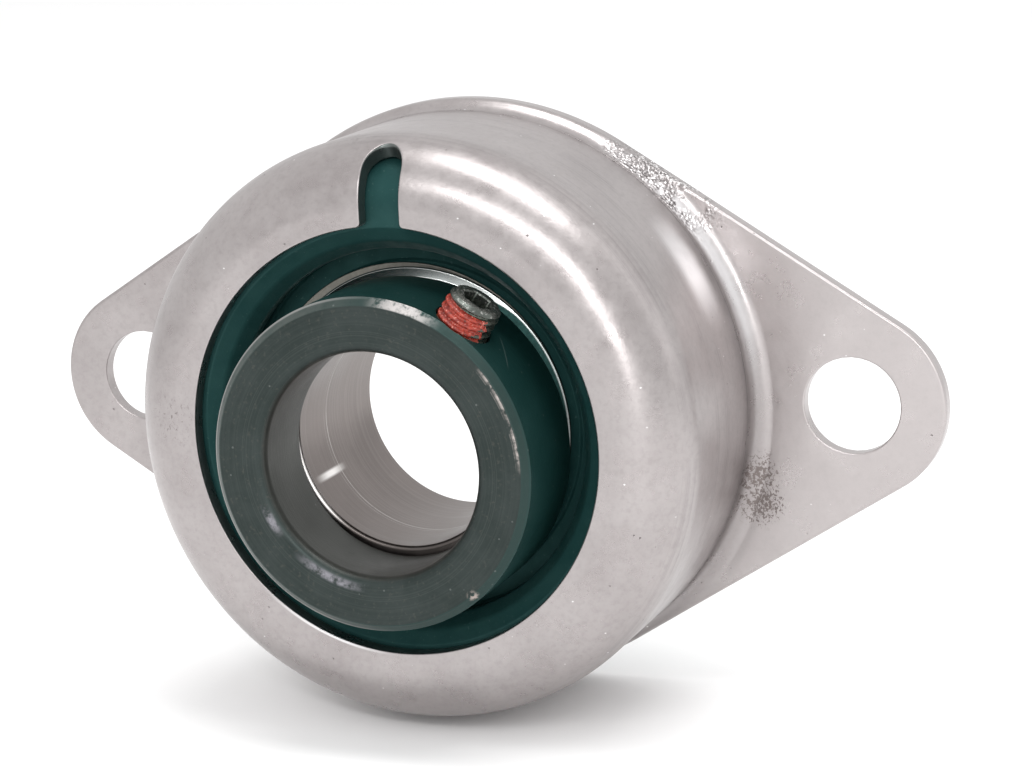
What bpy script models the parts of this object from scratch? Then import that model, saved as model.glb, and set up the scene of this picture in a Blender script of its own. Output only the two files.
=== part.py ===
"""Two-bolt flange bearing: a drawn steel housing, a rubber cushion and a ball bearing insert
with an eccentric locking collar.

Metres, +Z up. The shaft runs along Y and the collar looks towards -Y. The origin is on the
shaft axis, in the plane of the flange's back face. "Forward" is the distance in front of that
plane, so a point at forward f has y = -f.
"""

import bmesh
import bpy
from math import acos, asin, cos, degrees, pi, radians, sin, sqrt
from mathutils import Matrix, Vector

MM = 0.001
GAP = 0.3 * MM

# Flange and cup, pressed from one sheet
SHEET = 1.9 * MM
FLANGE_R = 35.5 * MM
LUG_R = 11.1 * MM
BOLT_X = 46.04 * MM
BOLT_HOLE_R = 5.7 * MM
CUP_R = 34.3 * MM
CUP_FRONT = 29.2 * MM
CUP_SHOULDER_R = 7.5 * MM
CUP_FOOT_R = 2.4 * MM
OPENING_R = 24.7 * MM
SLOT_WIDTH = 4.76 * MM
SLOT_TOP_R = 33.4 * MM
SLOT_DEPTH = 6.2 * MM

# Rubber cushion
CUSHION_BACK = 3.2 * MM
CUSHION_BACK_BEVEL = 1.2 * MM
CUSHION_SEAT_BACK = 4.6 * MM
CUSHION_LIP_R = 21.5 * MM
CUSHION_LIP_BACK = 22.5 * MM
CUSHION_LIP_BEVEL = 0.7 * MM
CUSHION_LIP_FRONT = 24.2 * MM
CUSHION_SLOPE_R = 22.7 * MM
CUSHION_SLOPE_FRONT = 26.0 * MM

# Ball bearing insert
BORE_R = 12.7 * MM
INSERT_CENTRE = 13.9 * MM
OUTER_R = 26.0 * MM
OUTER_HALF_WIDTH = 7.5 * MM
OUTER_LAND_R = 21.7 * MM
SEAL_SEAT_R = 23.0 * MM
BALL_COUNT = 9
BALL_R = 3.97 * MM
PITCH_R = 19.25 * MM
INNER_LAND_R = 16.9 * MM
INNER_BACK = 6.4 * MM
INNER_SHOULDER = 21.6 * MM
INNER_FRONT = 25.3 * MM
CAM_R = 15.2 * MM
CAGE_SHEET = 0.75 * MM
CAGE_HALF_HEIGHT = 1.05 * MM
RIVET_R = 0.45 * MM
RIVET_HEAD_R = 0.95 * MM
RIVET_HEAD_DEPTH = 0.45 * MM
RIVET_CROWN_R = 0.66 * MM
SEAL_NEAR = 5.4 * MM
SEAL_FAR = 6.2 * MM
FLINGER_NEAR = 6.5 * MM
FLINGER_RIM = 6.95 * MM
FLINGER_FAR = 7.3 * MM
FLINGER_R = 19.1 * MM
FLINGER_STEP_R = 18.3 * MM
FLINGER_CROWN_R = 18.0 * MM
FLINGER_OFFSET = (-0.7 * MM, 0.1 * MM)

# Locking collar, whose recess and the inner ring's cam share one centre
COLLAR_R = 19.05 * MM
COLLAR_BORE_R = 12.8 * MM
COLLAR_FRONT = 36.7 * MM
COLLAR_WIDTH = 13.5 * MM
COLLAR_CHAMFER = 0.8 * MM
RECESS_R = 15.75 * MM
RECESS_DEPTH = 4.0 * MM
ECCENTRICITY = 0.8 * MM
CAM_ANGLE = radians(-120.8)
COLLAR_ANGLE = radians(-9.6)

# Set screw, radial in the collar
SCREW_ANGLE = radians(56)
SCREW_FORWARD = 32.4 * MM
SCREW_R = 3.05 * MM
SCREW_HOLE_R = 3.3 * MM
SCREW_TOP_R = 22.2 * MM
SCREW_LENGTH = 6.35 * MM
SCREW_CHAMFER = 0.4 * MM
SOCKET_FLATS = 3.18 * MM
SOCKET_DEPTH = 3.0 * MM

CAM_CENTRE = (ECCENTRICITY * cos(CAM_ANGLE), ECCENTRICITY * sin(CAM_ANGLE))
COLLAR_CENTRE = (CAM_CENTRE[0] + ECCENTRICITY * cos(COLLAR_ANGLE),
                 CAM_CENTRE[1] + ECCENTRICITY * sin(COLLAR_ANGLE))
ON_AXIS = (0.0, 0.0)

# How far cutters reach past what they cut
CUT_BACK = -10 * MM
CUT_FRONT = 40 * MM

# Steps round a full turn
HOUSING_STEPS = 60
RING_STEPS = 44
DISC_STEPS = 36


def clear_scene():
    """Start from an empty file."""
    for thing in list(bpy.data.objects):
        bpy.data.objects.remove(thing, do_unlink=True)


def material(name, colour, roughness, metallic):
    """A plain Principled material."""
    made = bpy.data.materials.new(name)
    made.use_nodes = True
    shader = made.node_tree.nodes["Principled BSDF"]
    shader.inputs["Base Color"].default_value = (*colour, 1.0)
    shader.inputs["Roughness"].default_value = roughness
    shader.inputs["Metallic"].default_value = metallic
    return made


def add_object(name, mesh, look=None, smooth=True):
    """Put a finished mesh in the scene as one object."""
    made = bpy.data.objects.new(name, mesh)
    bpy.context.scene.collection.objects.link(made)
    if look is not None:
        mesh.materials.append(look)
    if smooth:
        mesh.shade_smooth()
        mesh.set_sharp_from_angle(angle=radians(30))
    return made


def mesh_from(name, verts, faces):
    """A mesh whose faces point out of the solid."""
    mesh = bpy.data.meshes.new(name)
    mesh.from_pydata(verts, [], faces)
    shell = bmesh.new()
    shell.from_mesh(mesh)
    bmesh.ops.recalc_face_normals(shell, faces=shell.faces)
    shell.to_mesh(mesh)
    shell.free()
    return mesh


def turned_mesh(name, profile, segments):
    """Turn a closed profile about Y. Each point is (radius, forward) or adds its own centre."""
    verts = []
    for step in range(segments):
        angle = 2 * pi * step / segments
        for point in profile:
            centre = point[2] if len(point) > 2 else ON_AXIS
            x = centre[0] + point[0] * cos(angle)
            z = centre[1] + point[0] * sin(angle)
            verts.append((x, -point[1], z))
    count = len(profile)
    faces = []
    for step in range(segments):
        near = step * count
        far = (step + 1) % segments * count
        for k in range(count):
            following = (k + 1) % count
            faces.append((near + k, near + following, far + following, far + k))
    return mesh_from(name, verts, faces)


def arc(centre_r, centre_f, radius, start, end, steps):
    """Points of an arc in the (radius, forward) plane, angles in degrees from +radius."""
    points = []
    for k in range(steps + 1):
        angle = radians(start + (end - start) * k / steps)
        points.append((centre_r + radius * cos(angle), centre_f + radius * sin(angle)))
    return points


def centred(points, centre):
    """The same profile points, turned about another centre."""
    return [(r, f, centre) for r, f in points]


def add_cutter(name, mesh):
    """A solid that only cuts."""
    cutter = add_object(name, mesh, smooth=False)
    cutter.hide_render = True
    cutter.display_type = 'WIRE'
    return cutter


def boolean(target, cutter, operation='DIFFERENCE'):
    """Add an exact Boolean to an object."""
    modifier = target.modifiers.new(cutter.name, 'BOOLEAN')
    modifier.operation = operation
    modifier.solver = 'EXACT'
    modifier.object = cutter


def prism_mesh(name, outline, back, front):
    """Extrude a closed (x, z) outline from forward = back to forward = front."""
    count = len(outline)
    verts = [(x, -back, z) for x, z in outline]
    verts += [(x, -front, z) for x, z in outline]
    faces = [tuple(range(count)), tuple(range(2 * count - 1, count - 1, -1))]
    for k in range(count):
        following = (k + 1) % count
        faces.append((k, following, count + following, count + k))
    return mesh_from(name, verts, faces)


def circle_points(centre, radius, start, end, steps):
    """Points of an arc in the (x, z) plane, angles in radians."""
    points = []
    for k in range(steps + 1):
        angle = start + (end - start) * k / steps
        points.append((centre[0] + radius * cos(angle), centre[1] + radius * sin(angle)))
    return points


def rod_mesh(name, radius, length, sides, direction, base, turn=0.0):
    """A cylinder of any side count from a base point along a direction."""
    shell = bmesh.new()
    bmesh.ops.create_cone(shell, cap_ends=True, segments=sides, radius1=radius, radius2=radius,
                          depth=length, matrix=Matrix.Translation((0, 0, length / 2)))
    facing = Vector(direction).to_track_quat('Z', 'Y').to_matrix().to_4x4()
    placed = Matrix.Translation(base) @ facing @ Matrix.Rotation(turn, 4, 'Z')
    bmesh.ops.transform(shell, matrix=placed, verts=shell.verts)
    bmesh.ops.recalc_face_normals(shell, faces=shell.faces)
    mesh = bpy.data.meshes.new(name)
    shell.to_mesh(mesh)
    shell.free()
    return mesh


def middle_points(start, end):
    """Points round the flange's middle, on the same steps as the turned sheet."""
    pitch = 2 * pi / HOUSING_STEPS
    angles = [k * pitch for k in range(HOUSING_STEPS) if start < k * pitch < end]
    return [(FLANGE_R * cos(a), FLANGE_R * sin(a)) for a in [start] + angles + [end]]


def flange_outline():
    """The diamond: a round middle and two round lugs, joined by straight tangents."""
    tangent = acos((FLANGE_R - LUG_R) / BOLT_X)
    points = circle_points((BOLT_X, 0), LUG_R, -tangent, tangent, 12)
    points += middle_points(tangent, pi - tangent)
    points += circle_points((-BOLT_X, 0), LUG_R, pi - tangent, pi + tangent, 12)
    points += middle_points(pi + tangent, 2 * pi - tangent)
    return points


def slot_outline():
    """The radial slot at the top, open below and round above."""
    half = SLOT_WIDTH / 2
    bottom = OPENING_R - 3 * MM
    points = [(half, bottom)]
    points += circle_points((0, SLOT_TOP_R - half), half, 0, pi, 10)
    points.append((-half, bottom))
    return points


def make_housing(look):
    """Cup and flange as one drawn sheet, trimmed to the diamond, then pierced."""
    inner_shoulder = CUP_SHOULDER_R - SHEET
    shoulder_r = CUP_R - CUP_SHOULDER_R
    shoulder_f = CUP_FRONT - CUP_SHOULDER_R
    foot_r = CUP_R + CUP_FOOT_R
    foot_f = SHEET + CUP_FOOT_R
    sheet_edge = BOLT_X + LUG_R + 4 * MM
    profile = [(OPENING_R, CUP_FRONT)]
    profile += arc(shoulder_r, shoulder_f, CUP_SHOULDER_R, 90, 0, 6)
    profile += arc(foot_r, foot_f, CUP_FOOT_R, 180, 270, 3)
    profile += [(sheet_edge, SHEET), (sheet_edge, 0)]
    profile += arc(foot_r, foot_f, CUP_FOOT_R + SHEET, 270, 180, 3)
    profile += arc(shoulder_r, shoulder_f, inner_shoulder, 0, 90, 4)
    profile.append((OPENING_R, CUP_FRONT - SHEET))
    housing = add_object("housing", turned_mesh("housing", profile, HOUSING_STEPS), look)
    trim = prism_mesh("flange_trim", flange_outline(), CUT_BACK, CUT_FRONT)
    trim = add_cutter("flange_trim", trim)
    boolean(housing, trim, 'INTERSECT')
    slot_back = CUP_FRONT - SLOT_DEPTH
    slot = prism_mesh("slot_cut", slot_outline(), slot_back, CUT_FRONT)
    slot = add_cutter("slot_cut", slot)
    boolean(housing, slot)
    for name, x in (("bolt_cut_right", BOLT_X), ("bolt_cut_left", -BOLT_X)):
        base = (x, -CUT_BACK, 0)
        hole = rod_mesh(name, BOLT_HOLE_R, CUT_FRONT, 28, (0, -1, 0), base)
        boolean(housing, add_cutter(name, hole))
    return housing


def make_cushion(look):
    """Rubber ring between the cup and the insert, with a lip over the insert's front edge."""
    outside = CUP_R - SHEET - GAP
    corner = CUP_SHOULDER_R - SHEET - GAP
    front = CUP_FRONT - SHEET - GAP
    seat = OUTER_R + GAP
    seat_back = degrees(asin((CUSHION_SEAT_BACK - INSERT_CENTRE) / seat))
    seat_front = degrees(asin((CUSHION_LIP_BACK - INSERT_CENTRE) / seat))
    edge = CUSHION_BACK_BEVEL
    lip = CUSHION_LIP_R
    bevel = CUSHION_LIP_BEVEL
    profile = arc(outside - corner, front - corner, corner, 90, 0, 4)
    profile += [(outside, CUSHION_BACK + edge), (outside - edge, CUSHION_BACK)]
    profile += [(seat * cos(radians(seat_back)), CUSHION_BACK)]
    profile += arc(0, INSERT_CENTRE, seat, seat_back, seat_front, 6)
    profile += [(lip + bevel, CUSHION_LIP_BACK), (lip, CUSHION_LIP_BACK + bevel)]
    profile += [(lip, CUSHION_LIP_FRONT), (CUSHION_SLOPE_R, CUSHION_SLOPE_FRONT)]
    profile += [(OPENING_R, front)]
    mesh = turned_mesh("rubber_cushion", profile, RING_STEPS)
    return add_object("rubber_cushion", mesh, look)


def make_outer_ring(look):
    """Outer ring with a spherical outside, one raceway and a seat for each seal."""
    half = OUTER_HALF_WIDTH
    groove = BALL_R + GAP
    reach = degrees(asin(half / OUTER_R))
    side = degrees(acos((OUTER_LAND_R - PITCH_R) / groove))
    seat_in = SEAL_NEAR - GAP
    profile = arc(0, INSERT_CENTRE, OUTER_R, reach, -reach, 5)
    profile += [(SEAL_SEAT_R, INSERT_CENTRE - half), (SEAL_SEAT_R, INSERT_CENTRE - seat_in)]
    profile += [(OUTER_LAND_R, INSERT_CENTRE - seat_in)]
    profile += arc(PITCH_R, INSERT_CENTRE, groove, -side, side, 5)
    profile += [(OUTER_LAND_R, INSERT_CENTRE + seat_in)]
    profile += [(SEAL_SEAT_R, INSERT_CENTRE + seat_in), (SEAL_SEAT_R, INSERT_CENTRE + half)]
    return add_object("outer_ring", turned_mesh("outer_ring", profile, RING_STEPS), look)


def make_inner_ring(look):
    """Wide inner ring: raceway, shoulders, and an eccentric cam on the collar's side."""
    groove = BALL_R + GAP
    side = degrees(acos((INNER_LAND_R - PITCH_R) / groove))
    edge = 0.5 * MM
    profile = [(BORE_R, INNER_BACK + edge), (BORE_R + edge, INNER_BACK)]
    profile += [(INNER_LAND_R, INNER_BACK)]
    profile += arc(PITCH_R, INSERT_CENTRE, groove, 360 - side, side, 5)
    profile += [(INNER_LAND_R, INNER_SHOULDER)]
    profile += centred([(CAM_R, INNER_SHOULDER)], CAM_CENTRE)
    profile += centred([(CAM_R, INNER_FRONT - edge), (CAM_R - edge, INNER_FRONT)], CAM_CENTRE)
    profile += [(BORE_R + edge, INNER_FRONT), (BORE_R, INNER_FRONT - edge)]
    return add_object("inner_ring", turned_mesh("inner_ring", profile, RING_STEPS), look)


def cage_offset(along):
    """Height of the cage's inner face at a distance along the pitch circle from a ball."""
    pocket = BALL_R + GAP
    if abs(along) >= pocket:
        return GAP / 2
    return max(sqrt(pocket ** 2 - along ** 2), GAP / 2)


def cage_sections():
    """Angles about a ball where the cage's sections lie, closer where it curves."""
    pocket = BALL_R + GAP
    bend = [pocket * cos(pi * k / 8) for k in range(8, -1, -1)]
    outer = pocket + CAGE_SHEET
    spots = [-outer] + bend + [outer]
    return [spot / PITCH_R for spot in spots]


def make_cage_half(name, facing, look):
    """One pressed half of the cage: a ribbon that bulges round each ball."""
    outer = BALL_R + GAP + CAGE_SHEET
    verts = []
    for ball in range(BALL_COUNT):
        for spot in cage_sections():
            angle = 2 * pi * ball / BALL_COUNT + spot
            along = spot * PITCH_R
            near = cage_offset(along)
            far = GAP / 2 + CAGE_SHEET
            if abs(along) < outer:
                far = max(sqrt(outer ** 2 - along ** 2), far)
            for radius, height in ((PITCH_R - CAGE_HALF_HEIGHT, near),
                                   (PITCH_R + CAGE_HALF_HEIGHT, near),
                                   (PITCH_R + CAGE_HALF_HEIGHT, far),
                                   (PITCH_R - CAGE_HALF_HEIGHT, far)):
                forward = INSERT_CENTRE + facing * height
                verts.append((radius * cos(angle), -forward, radius * sin(angle)))
    count = len(verts) // 4
    faces = []
    for k in range(count):
        near = 4 * k
        far = 4 * ((k + 1) % count)
        for side in range(4):
            following = (side + 1) % 4
            faces.append((near + side, near + following, far + following, far + side))
    half = add_object(name, mesh_from(name, verts, faces), look)
    for k in range(BALL_COUNT):
        cutter_name = f"{name}_hole_{k + 1}"
        x, z = rivet_place(k)
        base = (x, -INSERT_CENTRE - BALL_R, z)
        cutter = rod_mesh(cutter_name, RIVET_R + GAP / 2, 2 * BALL_R, 8, (0, 1, 0), base)
        boolean(half, add_cutter(cutter_name, cutter))
    return half


def ball_place(index):
    """Centre of a ball in the (x, z) plane."""
    angle = 2 * pi * index / BALL_COUNT
    return PITCH_R * cos(angle), PITCH_R * sin(angle)


def rivet_place(index):
    """Centre of a rivet, midway between two balls."""
    angle = 2 * pi * (index + 0.5) / BALL_COUNT
    return PITCH_R * cos(angle), PITCH_R * sin(angle)


def make_ball(index, look):
    """One ball, with its origin at its own centre."""
    shell = bmesh.new()
    bmesh.ops.create_uvsphere(shell, u_segments=12, v_segments=8, radius=BALL_R)
    mesh = bpy.data.meshes.new(f"ball_{index + 1}")
    shell.to_mesh(mesh)
    shell.free()
    ball = add_object(f"ball_{index + 1}", mesh, look)
    x, z = ball_place(index)
    mesh.transform(Matrix.Translation((x, -INSERT_CENTRE, z)))
    return ball


def make_rivet(index, look):
    """A rivet with a head on each face of the cage."""
    head_in = GAP * 1.5 + CAGE_SHEET
    head_out = head_in + RIVET_HEAD_DEPTH
    sides = 8
    rings = [(RIVET_CROWN_R, head_out), (RIVET_HEAD_R, head_in), (RIVET_R, head_in),
             (RIVET_R, -head_in), (RIVET_HEAD_R, -head_in), (RIVET_CROWN_R, -head_out)]
    x, z = rivet_place(index)
    verts = []
    for radius, forward in rings:
        for k in range(sides):
            angle = 2 * pi * k / sides
            verts.append((x + radius * cos(angle), -INSERT_CENTRE - forward,
                          z + radius * sin(angle)))
    faces = [tuple(range(sides)), tuple(range(len(verts) - sides, len(verts)))]
    for row in range(len(rings) - 1):
        here = row * sides
        for k in range(sides):
            following = (k + 1) % sides
            faces.append((here + k, here + following, here + sides + following,
                          here + sides + k))
    name = f"cage_rivet_{index + 1}"
    return add_object(name, mesh_from(name, verts, faces), look)


def make_seal(name, facing, look):
    """Rubber-faced disc in the outer ring's seat, with its lip just off the inner ring."""
    near = INSERT_CENTRE + facing * SEAL_NEAR
    far = INSERT_CENTRE + facing * SEAL_FAR
    lip = INNER_LAND_R + GAP
    rim = SEAL_SEAT_R - GAP
    profile = [(lip, near), (rim, near), (rim, far), (lip + 0.8 * MM, far)]
    return add_object(name, turned_mesh(name, profile, DISC_STEPS), look)


def make_flinger(name, facing, offset, look):
    """Thin steel disc on the inner ring, stepped in towards its rim."""
    inner = INNER_LAND_R + GAP
    near = INSERT_CENTRE + facing * FLINGER_NEAR
    rim = INSERT_CENTRE + facing * FLINGER_RIM
    far = INSERT_CENTRE + facing * FLINGER_FAR
    profile = [(inner, near)]
    profile += centred([(FLINGER_R, near), (FLINGER_R, rim), (FLINGER_STEP_R, rim)], offset)
    profile += [(FLINGER_CROWN_R, far), (inner, far)]
    return add_object(name, turned_mesh(name, profile, DISC_STEPS), look)


def make_collar(look):
    """Locking collar: bore and outside share one centre, the recess behind has the cam's."""
    back = COLLAR_FRONT - COLLAR_WIDTH
    recess = back + RECESS_DEPTH
    chamfer = COLLAR_CHAMFER
    edge = 0.5 * MM
    profile = [(COLLAR_BORE_R + chamfer, COLLAR_FRONT), (COLLAR_R - chamfer, COLLAR_FRONT)]
    profile += [(COLLAR_R, COLLAR_FRONT - chamfer), (COLLAR_R, back + edge)]
    profile += [(COLLAR_R - edge, back)]
    profile = centred(profile, COLLAR_CENTRE)
    profile += centred([(RECESS_R, back), (RECESS_R, recess)], CAM_CENTRE)
    profile += centred([(COLLAR_BORE_R, recess)], COLLAR_CENTRE)
    profile += centred([(COLLAR_BORE_R, COLLAR_FRONT - chamfer)], COLLAR_CENTRE)
    collar = add_object("locking_collar", turned_mesh("locking_collar", profile, RING_STEPS), look)
    base = collar_point(COLLAR_BORE_R - 3 * MM)
    length = COLLAR_R - COLLAR_BORE_R + 8 * MM
    hole = rod_mesh("screw_hole", SCREW_HOLE_R, length, 24, screw_direction(), base)
    boolean(collar, add_cutter("screw_hole", hole))
    return collar


def screw_direction():
    """The set screw's axis, pointing out of the collar."""
    return Vector((cos(SCREW_ANGLE), 0, sin(SCREW_ANGLE)))


def collar_point(radius):
    """A point on the set screw's axis at a radius from the collar's centre."""
    middle = Vector((COLLAR_CENTRE[0], -SCREW_FORWARD, COLLAR_CENTRE[1]))
    return middle + screw_direction() * radius


def make_set_screw(look):
    """Headless screw with a hexagon socket in its outer end."""
    base = collar_point(SCREW_TOP_R - SCREW_LENGTH)
    body = rod_mesh("set_screw", SCREW_R, SCREW_LENGTH, 24, screw_direction(), base)
    screw = add_object("set_screw", body, look)
    bevel = screw.modifiers.new("ends", 'BEVEL')
    bevel.width = SCREW_CHAMFER
    bevel.segments = 1
    bevel.limit_method = 'ANGLE'
    bevel.angle_limit = radians(40)
    corner_r = SOCKET_FLATS / 2 / cos(pi / 6)
    start = collar_point(SCREW_TOP_R - SOCKET_DEPTH)
    socket = rod_mesh("socket_cut", corner_r, 2 * SOCKET_DEPTH, 6, screw_direction(), start)
    boolean(screw, add_cutter("socket_cut", socket))
    return screw


def world_place(thing):
    """Where an object's origin is, for objects that are only moved and never turned."""
    place = Vector(thing.location)
    while thing.parent is not None:
        thing = thing.parent
        place += thing.location
    return place


def attach(thing, parent, place):
    """Hang an object from its parent with its origin at a world point."""
    start = world_place(parent) if parent is not None else Vector((0, 0, 0))
    thing.parent = parent
    thing.location = Vector(place) - start
    if thing.type == 'MESH':
        thing.data.transform(Matrix.Translation(-Vector(place)))


def joint_empty(name, place, parent=None):
    """An empty on a joint's axis that the joint's pieces hang from."""
    empty = bpy.data.objects.new(name, None)
    bpy.context.scene.collection.objects.link(empty)
    empty.empty_display_size = 10 * MM
    attach(empty, parent, place)
    return empty


def build():
    """Make every piece and hang it from its joint."""
    clear_scene()
    zinc = material("zinc_plated_steel", (0.62, 0.60, 0.59), 0.35, 0.9)
    rubber = material("black_rubber", (0.02, 0.03, 0.03), 0.6, 0.0)
    race = material("bearing_steel", (0.55, 0.54, 0.53), 0.25, 1.0)
    black = material("black_oxide_steel", (0.06, 0.06, 0.06), 0.4, 0.8)
    cage = material("cage_steel", (0.45, 0.43, 0.40), 0.35, 1.0)
    centre = (0, -INSERT_CENTRE, 0)
    cam = (CAM_CENTRE[0], -INNER_FRONT, CAM_CENTRE[1])

    mounting = joint_empty("mounting", (0, 0, 0))
    tilt = joint_empty("insert_tilt", centre, mounting)
    spin = joint_empty("shaft_spin", centre, tilt)
    orbit = joint_empty("cage_orbit", centre, tilt)
    turn = joint_empty("collar_turn", cam, spin)

    for piece in (make_housing(zinc), make_cushion(rubber)):
        attach(piece, mounting, (0, 0, 0))
    for piece in (make_outer_ring(race), make_seal("front_seal", 1, rubber),
                  make_seal("rear_seal", -1, rubber)):
        attach(piece, tilt, centre)
    for piece in (make_inner_ring(race),
                  make_flinger("front_flinger", 1, FLINGER_OFFSET, race),
                  make_flinger("rear_flinger", -1, ON_AXIS, race)):
        attach(piece, spin, centre)
    for piece in (make_cage_half("cage_front", 1, cage), make_cage_half("cage_rear", -1, cage)):
        attach(piece, orbit, centre)
    for index in range(BALL_COUNT):
        attach(make_rivet(index, cage), orbit, centre)
        x, z = ball_place(index)
        attach(make_ball(index, race), orbit, (x, -INSERT_CENTRE, z))
    attach(make_collar(black), turn, cam)
    attach(make_set_screw(black), turn, collar_point(SCREW_TOP_R))


build()
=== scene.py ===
"""Looks for the two-bolt flange bearing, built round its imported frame.

Metres, +Z up. The shaft runs along Y and the collar looks towards -Y. "Forward" is the distance
in front of the flange's back face, so a point at forward f has y = -f.
"""

from math import acos, asin, atan2, ceil, cos, degrees, hypot, pi, radians, sin, sqrt, tan

import bmesh
import bpy
from mathutils import Matrix, Vector, noise


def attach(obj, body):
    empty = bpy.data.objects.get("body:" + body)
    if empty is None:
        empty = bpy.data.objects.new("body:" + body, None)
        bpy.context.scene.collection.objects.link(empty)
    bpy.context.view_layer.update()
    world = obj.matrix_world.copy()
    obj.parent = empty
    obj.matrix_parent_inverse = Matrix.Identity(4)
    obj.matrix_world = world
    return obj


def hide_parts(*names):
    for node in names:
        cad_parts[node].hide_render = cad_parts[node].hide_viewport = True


MM = 0.001
ON_AXIS = (0.0, 0.0)

# Sheet metal
SHEET = 1.9 * MM
FLANGE_R = 35.5 * MM
LUG_R = 11.1 * MM
BOLT_X = 46.04 * MM
BOLT_HOLE_R = 5.7 * MM
CUP_R = 34.3 * MM
CUP_FRONT = 29.2 * MM
SHOULDER_R = 7.5 * MM
FOOT_R = 2.4 * MM
OPENING_R = 24.7 * MM
SLOT_HALF = 2.38 * MM
SLOT_TOP_R = 33.4 * MM
# The front surface from the opening outwards: a flat ring, then the shoulder's bend
FLAT = CUP_R - SHOULDER_R - OPENING_R
BEND = SHOULDER_R * pi / 2

# Insert
BORE_R = 12.7 * MM
INSERT_CENTRE = 13.9 * MM
OUTER_R = 26.0 * MM
OUTER_HALF = 7.5 * MM
BALL_COUNT = 9
BALL_R = 3.97 * MM
PITCH_R = 19.25 * MM
INNER_LAND_R = 16.9 * MM
OUTER_LAND_R = 21.7 * MM
SEAL_SEAT_R = 23.0 * MM
SEAL_SEAT_HALF = 5.1 * MM
GROOVE_R = BALL_R + 0.3 * MM
SLIP = 0.3 * MM
INNER_BACK = 6.4 * MM
INNER_SHOULDER = 21.6 * MM
INNER_FRONT = 26.7 * MM
CAM_R = 15.2 * MM

# Collar and screw
COLLAR_R = 19.05 * MM
COLLAR_BORE_R = 12.8 * MM
COLLAR_FRONT = 36.7 * MM
COLLAR_BACK = 23.2 * MM
RECESS_R = 15.75 * MM
ECCENTRICITY = 0.8 * MM
CAM_ANGLE = radians(-120.8)
COLLAR_ANGLE = radians(-9.6)
SCREW_ANGLE = radians(56)
SCREW_FORWARD = 32.4 * MM
SCREW_TOP_R = 22.2 * MM
SCREW_LENGTH = 6.35 * MM
SCREW_BOTTOM_R = SCREW_TOP_R - SCREW_LENGTH
SCREW_MAJOR_R = 3.1 * MM
SCREW_MINOR_R = 2.66 * MM
SCREW_PITCH = 0.907 * MM
SCREW_HOLE_R = 3.3 * MM
SOCKET_FLATS = 3.18 * MM
SOCKET_DEPTH = 3.0 * MM
SCREW_SIDES = 120

CAM_CENTRE = (ECCENTRICITY * cos(CAM_ANGLE), ECCENTRICITY * sin(CAM_ANGLE))
COLLAR_CENTRE = (CAM_CENTRE[0] + ECCENTRICITY * cos(COLLAR_ANGLE),
                 CAM_CENTRE[1] + ECCENTRICITY * sin(COLLAR_ANGLE))
FLINGER_OFFSET = (-0.7 * MM, 0.1 * MM)
CONE_OFFSET = (-0.1 * MM, 0.1 * MM)
CONE_R = 18.45 * MM

LATHE_SIDES = 240
ROUNDING_STEP = radians(18)

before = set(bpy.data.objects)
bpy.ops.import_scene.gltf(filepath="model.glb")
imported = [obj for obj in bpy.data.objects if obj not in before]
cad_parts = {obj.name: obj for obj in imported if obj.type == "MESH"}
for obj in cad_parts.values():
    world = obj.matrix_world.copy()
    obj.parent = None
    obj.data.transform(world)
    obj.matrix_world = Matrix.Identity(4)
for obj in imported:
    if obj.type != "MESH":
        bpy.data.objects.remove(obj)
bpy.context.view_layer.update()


# ---------------------------------------------------------------- materials

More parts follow.
